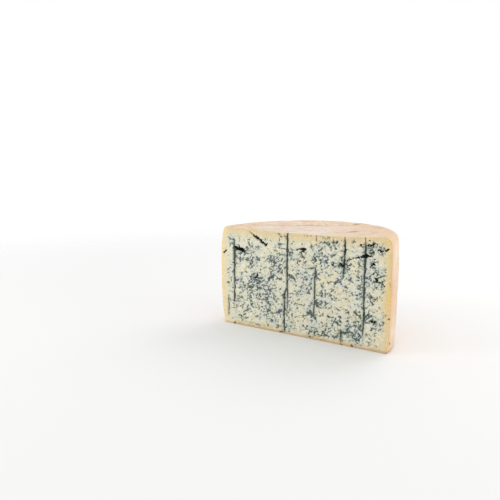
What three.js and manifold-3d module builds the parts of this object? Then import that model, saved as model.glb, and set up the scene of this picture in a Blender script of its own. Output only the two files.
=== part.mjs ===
// Half of a wheel of blue-veined cheese, cut straight down through its middle and standing on its base.
// Millimetres, +Z up. The cut face looks towards -Y, and the origin is at the middle of the base.
// The wheel is lofted whole from its sections, halved, and then the needle tracks, cracks and mould
// hollows that open on the cut face are taken out of it.

import * as THREE from 'three';
import { ParametricGeometry } from 'three/addons/geometries/ParametricGeometry.js';
import { mergeVertices } from 'three/addons/utils/BufferGeometryUtils.js';
import Module from 'manifold-3d';

const wasm = await Module();
wasm.setup();

// ---------------------------------------------------------------- driving dimensions

const HEIGHT = 160; // base to the top edge of the cut face
const BACK_RISE = 5.5; // extra height of the rim opposite the cut
const TOP_SAG = 3.7; // how far the top dips at the middle of the wheel

// The two ends of the cut face. The section passes smoothly from one to the other round the back.
const RIGHT_END = { belly: 143.1, footTuck: 3.0, shoulderTuck: 2.8, topRound: 8 };
const LEFT_END = { belly: 146.4, footTuck: 8.4, shoulderTuck: 7.7, topRound: 4 };
const BACK_TOP_ROUND = 11; // rounding of the top edge at the back
const FOOT_REACH = 26; // height over which the foot tucks in
const SHOULDER_REACH = 14; // depth over which the shoulder tucks in
const FOOT_ROUND = 3; // rounding of the bottom edge

const SIDE_LUMP = 0.7; // height of the slow swellings of the rind round the side
const SIDE_WAVES = 5; // and how many go round the whole wheel
const TOP_LUMP = 0.9;
const TOP_WAVES = 3;
const TWIST = 8; // turn of the swellings, in radians, from one edge of a face to the other

const SPOKES = 96; // sections round the whole wheel
const BASE_RINGS = 3;
const ROUND_RINGS = 4;
const SIDE_RINGS = 9;
const TOP_RINGS = 7;

// Needle tracks on the cut face, each a route of [across, up] points from the wheel's axis and the base.
const TRACKS = [
  { route: [[-120.6, 138], [-119.9, 38]], width: 2.8, depth: 1.4 },
  { route: [[-132, 43], [-132.2, 17]], width: 2.0, depth: 0.9 },
  { route: [[-20.6, 158], [-20.6, 69], [-24.4, 4]], width: 2.8, depth: 1.4 },
  { route: [[-18.1, 72], [-20.8, 26]], width: 2.2, depth: 1.0 },
  { route: [[27.3, 107], [27.6, 36]], width: 2.6, depth: 1.2 },
  { route: [[73.8, 160], [74, 114], [71.8, 100], [63, 92], [50.5, 89]], width: 2.8, depth: 1.6 },
  { route: [[104.5, 160], [103.8, 70], [103.9, 20]], width: 3.0, depth: 1.6 },
  { route: [[79, 124.4], [101.7, 132.4]], width: 2.4, depth: 1.4 },
  { route: [[70.7, 19], [72.3, 3]], width: 2.4, depth: 1.2 },
];
const TRACK_SIDES = 8;
const BALL_SHARE = 1.02; // the balls at a track's joints stand this much proud of its rods

// Cracks and mould hollows on the cut face: [across, up, length, width, depth, tilt in degrees].
const HOLLOWS = [
  [-108, 124, 21, 7.5, 9, -14],
  [-73, 143.5, 33, 4, 6, -31],
  [-140.5, 118, 4, 3.5, 2, 0],
  [8, 133.5, 9, 5, 3.5, 8],
  [37, 139, 6, 4, 2, -20],
  [70.6, 116.6, 10, 8, 3.5, 30],
  [104.8, 132.7, 13, 7, 5, 15],
  [112.5, 148, 9, 7, 4, 12],
  [126.5, 141.5, 12, 3, 2.5, -12],
  [138.5, 145, 6, 3.5, 2.5, 35],
  [115.5, 121, 13, 6, 4, 28],
  [121.7, 101, 10, 8, 4.5, -25],
  [131, 96, 9, 5, 3, -40],
  [117, 42, 7, 4.5, 3, -15],
  [-81, 83, 15, 8, 3, -22],
  [-36, 96, 10, 5, 2.5, -40],
  [33, 55.5, 12, 8, 3, 20],
];

// Patches of the cut face where the mould is thick and small eyes open: [across, up, radius].
const MOULD_PATCHES = [
  [-78, 88, 30],
  [-52, 66, 26],
  [-44, 108, 20],
  [24, 118, 16],
  [14, 66, 20],
  [44, 20, 20],
  [84, 26, 20],
  [118, 60, 18],
  [46, 140, 12],
  [84, 92, 14],
];
const RAGGED = [0.8, 1.15]; // each corner of a hollow is pushed to between these shares of its size
const FINE_LENGTH = 12; // hollows longer than this are made with more facets
const EYES_PER_PATCH = 5;
const EYE_LENGTH = [4, 8];
const EYE_WIDTH = [2.4, 4];
const EYE_DEPTH = [0.9, 1.6];
const EYE_GAP = 2; // least paste between one opening and the next
const EYE_TRIES = 40;
const SEED = 20;

const WELD = 1e-4; // vertices closer than this are one
const PASTE = { color: 0xe6dfc4, roughness: 0.55, metalness: 0 };

// ---------------------------------------------------------------- helpers

// Repeatable draw between 0 and 1.
function makeDraw(seed) {
  let state = seed;
  return () => {
    state = (state + 0x6d2b79f5) | 0;
    let t = Math.imul(state ^ (state >>> 15), 1 | state);
    t = (t + Math.imul(t ^ (t >>> 7), 61 | t)) ^ t;
    return ((t ^ (t >>> 14)) >>> 0) / 4294967296;
  };
}

// Geometry with one shared vertex at each point.
function weld(geometry) {
  const bare = geometry.clone();
  bare.deleteAttribute('normal');
  bare.deleteAttribute('uv');
  return mergeVertices(bare, WELD);
}

// Closed geometry to a manifold solid. Triangles that shrink to a line at a pole are dropped.
function toSolid(geometry) {
  const merged = weld(geometry);
  const triVerts = [];
  for (let i = 0; i < merged.index.count; i += 3) {
    const [a, b, c] = [0, 1, 2].map((k) => merged.index.getX(i + k));
    if (a !== b && b !== c && c !== a) {
      triVerts.push(a, b, c);
    }
  }
  return new wasm.Manifold(
    new wasm.Mesh({
      numProp: 3,
      vertProperties: new Float32Array(merged.attributes.position.array),
      triVerts: new Uint32Array(triVerts),
    })
  );
}

// Manifold solid back to a geometry.
function toGeometry(solid) {
  const mesh = solid.getMesh();
  const geometry = new THREE.BufferGeometry();
  geometry.setAttribute('position', new THREE.BufferAttribute(mesh.vertProperties, 3));
  geometry.setIndex(new THREE.BufferAttribute(mesh.triVerts, 1));
  geometry.computeVertexNormals();
  return geometry;
}

// ---------------------------------------------------------------- the wheel

// Sizes of the section at an angle round the axis, 0 at the right end of the cut and PI at the left.
function endSizes(angle) {
  const leftShare = (1 - Math.cos(angle)) / 2;
  const sizes = {};
  for (const key of Object.keys(RIGHT_END)) {
    sizes[key] = THREE.MathUtils.lerp(RIGHT_END[key], LEFT_END[key], leftShare);
  }
  const behind = Math.sin(angle) ** 2;
  sizes.topRound = THREE.MathUtils.lerp(sizes.topRound, BACK_TOP_ROUND, behind);
  return sizes;
}

// Outline of the section at an angle, as [radius, height] from the axis along the base, up the side
// and back over the top to the axis.
function sectionAt(angle) {
  const sizes = endSizes(angle);
  const rim = HEIGHT + BACK_RISE * Math.sin(angle);
  const sideRadius = (z) => {
    const foot = sizes.footTuck * Math.exp(-z / FOOT_REACH);
    const shoulder = sizes.shoulderTuck * Math.exp((z - rim) / SHOULDER_REACH);
    const wave = Math.sin(SIDE_WAVES * angle + (TWIST * z) / rim) * Math.sin(angle);
    return sizes.belly - foot - shoulder + SIDE_LUMP * Math.sin((Math.PI * z) / rim) * wave;
  };
  const points = [];

  const footEdge = sideRadius(0) - FOOT_ROUND;
  for (let i = 0; i < BASE_RINGS; i += 1) {
    points.push([(footEdge * i) / BASE_RINGS, 0]);
  }
  for (let i = 0; i <= ROUND_RINGS; i += 1) {
    const turn = (Math.PI / 2) * (i / ROUND_RINGS);
    const z = FOOT_ROUND * (1 - Math.cos(turn));
    points.push([sideRadius(z) - FOOT_ROUND * (1 - Math.sin(turn)), z]);
  }
  const sideTop = rim - sizes.topRound;
  for (let i = 1; i < SIDE_RINGS; i += 1) {
    const z = THREE.MathUtils.lerp(FOOT_ROUND, sideTop, i / SIDE_RINGS);
    points.push([sideRadius(z), z]);
  }
  for (let i = 0; i <= ROUND_RINGS; i += 1) {
    const turn = (Math.PI / 2) * (i / ROUND_RINGS);
    const z = sideTop + sizes.topRound * Math.sin(turn);
    points.push([sideRadius(z) - sizes.topRound * (1 - Math.cos(turn)), z]);
  }
  const topEdge = sideRadius(rim) - sizes.topRound;
  for (let i = TOP_RINGS - 1; i >= 0; i -= 1) {
    const out = i / TOP_RINGS;
    const wave = Math.sin(TOP_WAVES * angle + TWIST * out) * Math.sin(angle);
    const lump = TOP_LUMP * Math.sin(Math.PI * out) * wave;
    points.push([topEdge * out, THREE.MathUtils.lerp(HEIGHT - TOP_SAG, rim, out * out) + lump]);
  }
  return points;
}

function makeWheel() {
  const sections = [];
  for (let i = 0; i < SPOKES; i += 1) {
    sections.push(sectionAt((2 * Math.PI * i) / SPOKES));
  }
  const stations = sections[0].length - 1;
  const place = (u, v, target) => {
    const spoke = Math.round(u * SPOKES) % SPOKES;
    const [radius, z] = sections[spoke][Math.round(v * stations)];
    const angle = (2 * Math.PI * spoke) / SPOKES;
    target.set(radius * Math.cos(angle), radius * Math.sin(angle), z);
  };
  return toSolid(new ParametricGeometry(place, SPOKES, stations));
}

// The half that is kept lies behind the cut, on the +Y side.
function halve(wheel) {
  const span = 3 * LEFT_END.belly;
  const keep = new THREE.BoxGeometry(span, span, 2 * HEIGHT);
  keep.translate(0, span / 2, HEIGHT / 2);
  return wheel.intersect(toSolid(keep));
}

// ---------------------------------------------------------------- openings on the cut face

// One needle track: a rod along each leg of its route, with a ball where legs meet and at the ends.
function makeTrack({ route, width, depth }) {
  const radius = width / 2;
  const points = route.map(([x, z]) => new THREE.Vector3(x, depth - radius, z));
  let track = null;
  const join = (geometry) => {
    const piece = toSolid(geometry);
    track = track ? track.add(piece) : piece;
  };
  points.forEach((point, i) => {
    const ball = new THREE.IcosahedronGeometry(radius * BALL_SHARE, 1);
    ball.translate(point.x, point.y, point.z);
    join(ball);
    if (i === 0) {
      return;
    }
    const leg = new THREE.Vector3().subVectors(point, points[i - 1]);
    const middle = new THREE.Vector3().addVectors(point, points[i - 1]).multiplyScalar(0.5);
    const rod = new THREE.CylinderGeometry(radius, radius, leg.length(), TRACK_SIDES);
    const turn = new THREE.Quaternion().setFromUnitVectors(new THREE.Vector3(0, 1, 0), leg.normalize());
    rod.applyQuaternion(turn);
    rod.translate(middle.x, middle.y, middle.z);
    join(rod);
  });
  return track;
}

// One ragged hollow: a ball pushed in and out at each corner, then stretched, tilted and set on the face.
function makeHollow([x, z, length, width, depth, tilt], draw) {
  const detail = length > FINE_LENGTH ? 2 : 1;
  const ball = weld(new THREE.IcosahedronGeometry(1, detail));
  const corners = ball.attributes.position;
  for (let i = 0; i < corners.count; i += 1) {
    const ragged = THREE.MathUtils.lerp(RAGGED[0], RAGGED[1], draw());
    corners.setXYZ(i, corners.getX(i) * ragged, corners.getY(i) * ragged, corners.getZ(i) * ragged);
  }
  ball.scale(length / 2, depth, width / 2);
  ball.rotateY(-THREE.MathUtils.degToRad(tilt));
  ball.translate(x, 0, z);
  return toSolid(ball);
}

// Small eyes in the mouldy patches, kept clear of each other and of every larger opening.
function placeEyes(draw) {
  const between = ([low, high]) => low + (high - low) * draw();
  const taken = HOLLOWS.map(([x, z, length]) => ({ x, z, reach: length / 2 }));
  const eyes = [];
  for (const [patchX, patchZ, patchRadius] of MOULD_PATCHES) {
    let placed = 0;
    for (let n = 0; n < EYE_TRIES && placed < EYES_PER_PATCH; n += 1) {
      const turn = 2 * Math.PI * draw();
      const out = patchRadius * Math.sqrt(draw());
      const x = patchX + out * Math.cos(turn);
      const z = patchZ + out * Math.sin(turn);
      const eye = [x, z, between(EYE_LENGTH), between(EYE_WIDTH), between(EYE_DEPTH), 180 * draw()];
      const reach = eye[2] / 2;
      const clearOfHollows = taken.every((t) => Math.hypot(t.x - x, t.z - z) > t.reach + reach + EYE_GAP);
      if (clearOfHollows && trackDistance(x, z) > reach + EYE_GAP) {
        taken.push({ x, z, reach });
        eyes.push(eye);
        placed += 1;
      }
    }
  }
  return eyes;
}

// Distance on the cut face from a point to the nearest needle track.
function trackDistance(x, z) {
  const point = new THREE.Vector3(x, 0, z);
  const nearest = new THREE.Vector3();
  let distance = Infinity;
  for (const { route } of TRACKS) {
    for (let i = 1; i < route.length; i += 1) {
      const [from, to] = [route[i - 1], route[i]].map(([px, pz]) => new THREE.Vector3(px, 0, pz));
      new THREE.Line3(from, to).closestPointToPoint(point, true, nearest);
      distance = Math.min(distance, nearest.distanceTo(point));
    }
  }
  return distance;
}

// ---------------------------------------------------------------- the cheese

function makeCheese() {
  const draw = makeDraw(SEED);
  let body = halve(makeWheel());
  for (const track of TRACKS) {
    body = body.subtract(makeTrack(track));
  }
  for (const hollow of HOLLOWS) {
    body = body.subtract(makeHollow(hollow, draw));
  }
  for (const eye of placeEyes(draw)) {
    body = body.subtract(makeHollow(eye, draw));
  }
  const geometry = toGeometry(body);
  geometry.computeBoundingBox();
  const middle = geometry.boundingBox.getCenter(new THREE.Vector3());
  geometry.translate(-middle.x, -middle.y, -geometry.boundingBox.min.z);
  const cheese = new THREE.Mesh(geometry, new THREE.MeshStandardMaterial(PASTE));
  cheese.name = 'half_wheel';
  return cheese;
}

const part = new THREE.Group();
part.add(makeCheese());

export default part;
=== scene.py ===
"""Half of a wheel of blue-veined cheese, standing on its base with the cut face upright.

Lengths are in millimetres from the wheel's axis, the cut and the base, until the mesh is made.
"""

import math

import bmesh
import bpy
import numpy as np
from mathutils import Matrix, Vector, noise


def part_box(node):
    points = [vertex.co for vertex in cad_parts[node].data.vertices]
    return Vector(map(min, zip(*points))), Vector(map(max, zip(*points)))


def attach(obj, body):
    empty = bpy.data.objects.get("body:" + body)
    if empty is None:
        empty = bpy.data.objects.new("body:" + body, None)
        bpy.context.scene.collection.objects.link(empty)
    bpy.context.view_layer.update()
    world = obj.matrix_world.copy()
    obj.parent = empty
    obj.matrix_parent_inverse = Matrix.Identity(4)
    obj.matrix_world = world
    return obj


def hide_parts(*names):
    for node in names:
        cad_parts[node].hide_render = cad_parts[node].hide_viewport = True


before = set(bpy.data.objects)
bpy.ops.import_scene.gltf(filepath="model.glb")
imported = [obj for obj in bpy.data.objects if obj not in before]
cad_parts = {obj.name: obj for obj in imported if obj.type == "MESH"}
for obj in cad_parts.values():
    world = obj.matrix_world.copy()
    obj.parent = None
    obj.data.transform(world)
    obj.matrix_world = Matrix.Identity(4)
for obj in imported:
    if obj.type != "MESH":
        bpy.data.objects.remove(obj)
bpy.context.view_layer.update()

# ------------ the wheel's form
# A tall wheel of soft cheese, turned out of its hoop and sunk a little under its own weight, then
# halved with a wire. Foot and shoulder are rounded, and the sides are fullest at mid height.

HEIGHT = 160.0
BACK_RISE = 5.5
TOP_SAG = 3.7
RIGHT_END = {"belly": 143.1, "foot_tuck": 3.0, "shoulder_tuck": 2.8, "top_round": 8.0}
LEFT_END = {"belly": 146.4, "foot_tuck": 8.4, "shoulder_tuck": 7.7, "top_round": 4.0}
BACK_TOP_ROUND = 11.0
FOOT_REACH = 26.0
SHOULDER_REACH = 14.0
FOOT_ROUND = 3.0
SIDE_LUMP = 0.7
SIDE_WAVES = 5
TOP_LUMP = 0.9
TOP_WAVES = 3
TWIST = 8.0


def round_the_back(size, angle):
    """A size that passes from the right end of the cut, at angle 0, to the left end, at pi."""
    return RIGHT_END[size] + (LEFT_END[size] - RIGHT_END[size]) * (1 - np.cos(angle)) / 2


def rim_height(angle):
    return HEIGHT + BACK_RISE * np.sin(angle)


def side_radius(angle, height):
    rim = rim_height(angle)
    foot = round_the_back("foot_tuck", angle) * np.exp(-height / FOOT_REACH)
    shoulder = round_the_back("shoulder_tuck", angle) * np.exp((height - rim) / SHOULDER_REACH)
    wave = np.sin(SIDE_WAVES * angle + TWIST * height / rim) * np.sin(angle)
    swelling = SIDE_LUMP * np.sin(np.pi * height / rim) * wave
    return round_the_back("belly", angle) - foot - shoulder + swelling


FOOT_STEPS = 3
SIDE_STEPS = 84
SHOULDER_STEPS = 7
CHORD_STEPS = 170
END_STEPS = 48
ARC_STEPS = CHORD_STEPS + 2 * END_STEPS


def side_section(angle):
    """Radius and height up the side at each angle, from the foot's rounding to the shoulder's."""
    angle = np.asarray(angle, float).reshape(-1, 1)
    rim = rim_height(angle)
    shoulder = round_the_back("top_round", angle)
    shoulder = shoulder + (BACK_TOP_ROUND - shoulder) * np.sin(angle) ** 2
    foot_turn = np.linspace(0, np.pi / 2, FOOT_STEPS + 1)[:-1]
    foot_height = FOOT_ROUND * (1 - np.cos(foot_turn)) + 0 * angle
    foot_inset = FOOT_ROUND * (1 - np.sin(foot_turn)) + 0 * angle
    climb = np.linspace(0, 1, SIDE_STEPS + 1)[:-1]
    side_height = FOOT_ROUND + (rim - shoulder - FOOT_ROUND) * climb
    top_turn = np.linspace(0, np.pi / 2, SHOULDER_STEPS + 1)
    top_height = rim - shoulder * (1 - np.sin(top_turn))
    top_inset = shoulder * (1 - np.cos(top_turn))
    height = np.concatenate([foot_height, side_height, top_height], 1)
    inset = np.concatenate([foot_inset, 0 * side_height, top_inset], 1)
    return side_radius(angle, height) - inset, height


def disc_place(across, back, row):
    """Angle, share of the way out and place of points on the unit half disc, out to a side row."""
    angle, out = np.arctan2(back, across), np.hypot(across, back)
    edge = side_section(angle)[0][:, row].reshape(angle.shape)
    return angle, out, out * edge * np.cos(angle), out * edge * np.sin(angle)


def top_point(across, back):
    angle, out, x, y = disc_place(across, back, -1)
    wave = np.sin(TOP_WAVES * angle + TWIST * out) * np.sin(angle)
    dip = HEIGHT - TOP_SAG + (rim_height(angle) - HEIGHT + TOP_SAG) * out**2
    return np.stack([x, y, dip + TOP_LUMP * np.sin(np.pi * out) * wave], -1)


def base_point(across, back):
    x, y = disc_place(across, back, 0)[2:]
    return np.stack([x, y, 0 * x], -1)


def blended_patch(near, far, left, right, rise=None):
    """Grid of points between four border lines, near and far along it and left and right across it."""
    u = np.linspace(0, 1, len(near))[:, None, None]
    v = (np.linspace(0, 1, len(left)) if rise is None else rise)[None, :, None]
    corners = (1 - u) * (1 - v) * near[0] + u * (1 - v) * near[-1] + (1 - u) * v * far[0] + u * v * far[-1]
    return (1 - v) * near[:, None] + v * far[:, None] + (1 - u) * left[None] + u * right[None] - corners


arc = np.linspace(0, np.pi, ARC_STEPS + 1)
unit_arc = np.stack([np.cos(arc), np.sin(arc)], -1)
unit_chord = np.stack([np.linspace(-1, 1, CHORD_STEPS + 1), np.zeros(CHORD_STEPS + 1)], -1)
half_disc = blended_patch(
    unit_chord,
    unit_arc[END_STEPS : ARC_STEPS - END_STEPS + 1][::-1],
    unit_arc[::-1][: END_STEPS + 1],
    unit_arc[: END_STEPS + 1],
)
half_disc[:, 0, 1] = 0.0
radius, height = side_section(arc)
side_grid = np.stack([radius * np.cos(arc)[:, None], radius * np.sin(arc)[:, None], height], -1)
top_grid = top_point(half_disc[..., 0], half_disc[..., 1])
base_chord = base_point(unit_chord[:, 0], unit_chord[:, 1])
rise = (height[0] + height[-1]) / 2
share_up = (rise - rise[0]) / (rise[-1] - rise[0])
cut_grid = blended_patch(base_chord, top_grid[:, 0], side_grid[-1], side_grid[0], share_up)

# ------------ the mesh
# One closed skin over cut face, side, top and base. The cut face has squares half the size of the
# rind's, because its veins and openings are the finest relief. The flat map lays the parts out
# apart, with the cut face the full width of it.

MM = 0.001
WELD_GAP = 1e-3
LEFT_REACH = 147.0
FLAT_MARGIN = 0.01
CUT_FLAT_SCALE = (1 - 2 * FLAT_MARGIN) / (2 * LEFT_REACH)
RIND_FLAT_SCALE = 0.00135
RIND_FLAT_TOP = 0.56
PASTE_SLOT, RIND_SLOT = 0, 1

cut_flat = FLAT_MARGIN + CUT_FLAT_SCALE * np.stack([cut_grid[..., 0] + LEFT_REACH, cut_grid[..., 2]], -1)
flat_along = FLAT_MARGIN + RIND_FLAT_SCALE * RIGHT_END["belly"] * arc[:, None] + 0 * height
side_flat = np.stack([flat_along, RIND_FLAT_TOP + RIND_FLAT_SCALE * height], -1)


def disc_flat(grid, across, up):
    flat_across = across + RIND_FLAT_SCALE * (grid[..., 0] + LEFT_REACH)
    return np.stack([flat_across, up + RIND_FLAT_SCALE * grid[..., 1]], -1)


disc_row = RIND_FLAT_TOP + RIND_FLAT_SCALE * (HEIGHT + BACK_RISE) + FLAT_MARGIN
top_flat = disc_flat(top_grid, FLAT_MARGIN, disc_row)
base_flat_start = 2 * FLAT_MARGIN + RIND_FLAT_SCALE * 2 * LEFT_REACH

points, quads, flats, slots = [], [], [], []
for grid, flat, slot in (
    (cut_grid, cut_flat, PASTE_SLOT),
    (side_grid, side_flat, RIND_SLOT),
    (top_grid, top_flat, RIND_SLOT),
):
    rows, columns = grid.shape[:2]
    first = sum(len(p) for p in points)
    index = first + np.arange(rows * columns).reshape(rows, columns)
    corners = [index[:-1, :-1], index[1:, :-1], index[1:, 1:], index[:-1, 1:]]
    quads.append(np.stack(corners, -1).reshape(-1, 4))
    points.append(grid.reshape(-1, 3))
    flats.append(flat.reshape(-1, 2))
    slots.append(np.full((rows - 1) * (columns - 1), slot))
points, quads, flats, slots = (np.concatenate(a) for a in (points, quads, flats, slots))

cheese_mesh = bpy.data.meshes.new("half_wheel_of_blue_cheese")
cheese_mesh.from_pydata(points.tolist(), [], quads.tolist())
cheese_mesh.polygons.foreach_set("material_index", slots)
flat_map = cheese_mesh.uv_layers.new(name="OFBake")
flat_map.data.foreach_set("uv", flats[quads.ravel()].astype(np.float32).ravel())

shell = bmesh.new()
shell.from_mesh(cheese_mesh)
bmesh.ops.remove_doubles(shell, verts=shell.verts, dist=WELD_GAP)
cut_edges = list({e for f in shell.faces if f.material_index == PASTE_SLOT for e in f.edges})
bmesh.ops.subdivide_edges(shell, edges=cut_edges, cuts=1, use_grid_fill=True)
# Rind faces along the cut now have a fifth corner halfway along it. They are split from that corner.
border = {e for e in shell.edges if len({f.material_index for f in e.link_faces}) == 2}
for face in [f for f in shell.faces if len(f.verts) == 5]:
    (halfway,) = [c for c in face.loops if c.edge in border and c.link_loop_prev.edge in border]
    corner = halfway.vert
    opposite = (halfway.link_loop_next.link_loop_next.vert, halfway.link_loop_prev.link_loop_prev.vert)
    for far_corner in opposite:
        (piece,) = [f for f in corner.link_faces if f.material_index == RIND_SLOT and far_corner in f.verts]
        bmesh.utils.face_split(piece, corner, far_corner)
(base,) = bmesh.ops.edgeloop_fill(shell, edges=[e for e in shell.edges if e.is_boundary])["faces"]
base.material_index = RIND_SLOT
for corner in base.loops:
    corner_flat = disc_flat(np.array(corner.vert.co), base_flat_start, disc_row)
    corner[shell.loops.layers.uv["OFBake"]].uv = corner_flat
bmesh.ops.recalc_face_normals(shell, faces=shell.faces)
for face in shell.faces:
    face.smooth = True
shell.to_mesh(cheese_mesh)
shell.free()

place = np.zeros(len(cheese_mesh.vertices) * 3, np.float32)
cheese_mesh.vertices.foreach_get("co", place)
place = place.reshape(-1, 3).astype(float)
across, behind, up = place.T
on_cut = behind < WELD_GAP

# ------------ needle tracks, cracks and blots
# Steel needles pierce the wheel to let air in, so mould grows thickest along their straight tracks.
# Cracks and gaps between the curds open on the cut, and their dark mould and painted shade make them
# nearly black inside. Every stroke is a route of (across, up, half its width) points.

NEEDLE_TRACKS = [
    [(-121, 140, 1.2), (-119.8, 124, 1.8), (-119.8, 95, 1.5), (-119.6, 60, 1.2), (-120.2, 38, 1.4)],
    [(-132, 46, 0.4), (-131.5, 31, 1), (-132.2, 14, 0.8)],
    [(-20, 156, 0.8), (-20, 146, 1.5), (-20, 130, 1.5), (-20.6, 103, 1.8), (-20, 76, 1.3)],
    [(-20, 76, 1.3), (-19, 52, 0.7), (-20, 28, 0.5)],
    [(-21, 72, 1), (-25.2, 56, 1.2), (-24.8, 22, 1.4), (-23.8, 4, 1.3)],
    [(15.5, 106, 0.8), (21, 107, 1), (27.4, 108, 0.9)],
    [(27.4, 107, 1), (27, 84, 1.3), (27.3, 58, 1.1), (25.6, 38, 1.1)],
    [(73.9, 152, 0.9), (73.7, 144, 1.5), (73.6, 128, 1.3), (73.5, 116, 1.9), (72.6, 101, 0.9)],
    [(104.4, 149, 1.3), (104.6, 140, 1.7), (104.6, 132, 1.8), (104.3, 110, 1.4)],
    [(104.3, 110, 1.4), (104.2, 84, 1.4), (104.4, 62, 1.2), (104.8, 46, 1.3)],
    [(104.8, 46, 1.4), (104.3, 36, 1.2), (104.2, 26, 1.1), (103.6, 18, 0.3)],
    [(71, 19, 1.8), (70.6, 13, 1.5), (70.8, 8, 0.5)],
]
# Where a needle went in, and along the foot, the paste has turned rusty brown.
RUST_MARKS = [
    [(28.6, 156, 0.8), (28.9, 148, 1)], [(73.7, 160, 1), (74, 150, 1.1)],
    [(104, 160, 0.9), (104.6, 148, 1.4)], [(70.6, 12, 0.5), (70.8, 5, 0.9), (72.6, 0, 1.6)],
    [(-37, 154.8, 0.9), (-34, 153.6, 1.4)], [(-27, 152, 0.9), (-23.5, 150.4, 1.4)],
    [(8, 154.6, 0.5), (10, 154, 0.5)], [(13, 154.4, 0.9), (15, 154, 0.8)],
    [(19, 155, 1), (20.5, 155, 0.9)], [(68, 152, 0.8), (69, 151, 0.5)],
    [(-121, 1.5, 1.4), (-118.5, 2, 2.2)], [(-31.5, 2, 2.1), (-26, 2.6, 1.1), (-20, 4, 0.5)],
    [(88, 2.4, 2.3), (88.6, 2, 2.5)], [(38, 2, 0.6), (47, 3, 0.8)], [(140, 49, 1.3), (141, 49.3, 1.7)],
    [(140.6, 102, 0.2), (141.3, 97, 0.7), (141.5, 93, 0.4)], [(-134, 113, 0.5), (-130, 112, 0.7)],
    [(88, 107, 0.6), (89, 106, 0.8)],
]
# Each crack is its route and its depth.
CRACKS = [
    ([(-118, 127, 2.4), (-113, 125.5, 3.2), (-107, 123.8, 3.9), (-102.5, 122.6, 3.4)], 9),
    ([(-89, 154, 0.5), (-82, 148.3, 1.9), (-76, 146, 2.2), (-71, 142.8, 1.8), (-67, 139.8, 2.5)], 6),
    ([(-67, 139.8, 2.5), (-60, 135.6, 2.2), (-55.5, 137.6, 1.4)], 6),
    ([(-20, 150.5, 1.1), (-20, 138, 1.3)], 2.4),
    ([(-119.6, 84, 0.1), (-119.6, 61, 0.8), (-120, 40, 1)], 2.2),
    ([(104.2, 79, 0.6), (104.2, 76, 0.6)], 1.2), ([(104.4, 63, 0.6), (104.4, 60, 0.6)], 1.2),
    ([(104.5, 53, 0.8), (104.4, 49, 1)], 1.4),
    ([(73.9, 149.5, 1.4), (73.6, 143, 1.7), (73.6, 138, 1.2), (73.5, 131, 1.4)], 2.4),
    ([(73.4, 124, 0.5), (73.4, 113, 0.8)], 2.4),
    ([(-142, 117, 2), (-139, 118.3, 1.8), (-136, 120.3, 1.2)], 2),
    ([(-5, 132.2, 0.8), (3, 133.4, 1.5), (8, 134, 2.6), (10.5, 134.4, 2)], 3.5),
    ([(1, 129, 0.9), (9, 130.2, 1.2)], 1.2), ([(100, 131.5, 1.2), (105, 132, 3), (109, 132.5, 1.6)], 5),
    ([(76, 122.6, 0.8), (86, 127.5, 1), (100, 131.5, 1.4)], 1.6),
    ([(109, 133, 1.2), (113.5, 134.5, 1.6), (116, 140, 1)], 2),
    ([(108.5, 146.6, 1.2), (113.5, 148, 2), (118, 152, 0.8)], 3),
    ([(122, 141.8, 0.8), (131, 141, 1.4), (134, 142, 1.2), (138, 144.5, 1.5)], 2.5),
    ([(111.5, 117.5, 1.4), (114, 119.6, 1.7), (116, 122.3, 2.4)], 4),
    ([(121.4, 99, 2.1), (122, 102.4, 2.2)], 4.5),
    ([(124, 98, 1.1), (129, 98, 1.2), (133.5, 93.5, 1)], 2.2),
    ([(67, 119, 1), (71, 115.5, 1.7), (68.5, 112, 0.9)], 3), ([(55, 116, 1.9), (56, 115.4, 1.9)], 2),
    ([(61.6, 147.8, 1.8), (62.2, 147.6, 1.6)], 2), ([(97, 148, 1.5), (98.4, 147.8, 1.4)], 1.2),
    ([(114.5, 41, 1), (117.5, 41.8, 1.9), (120.5, 41.8, 1.5)], 3),
    ([(-80, 81.5, 1.6), (-75, 83.5, 2), (-74, 87, 1.2)], 2.4),
]
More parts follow.
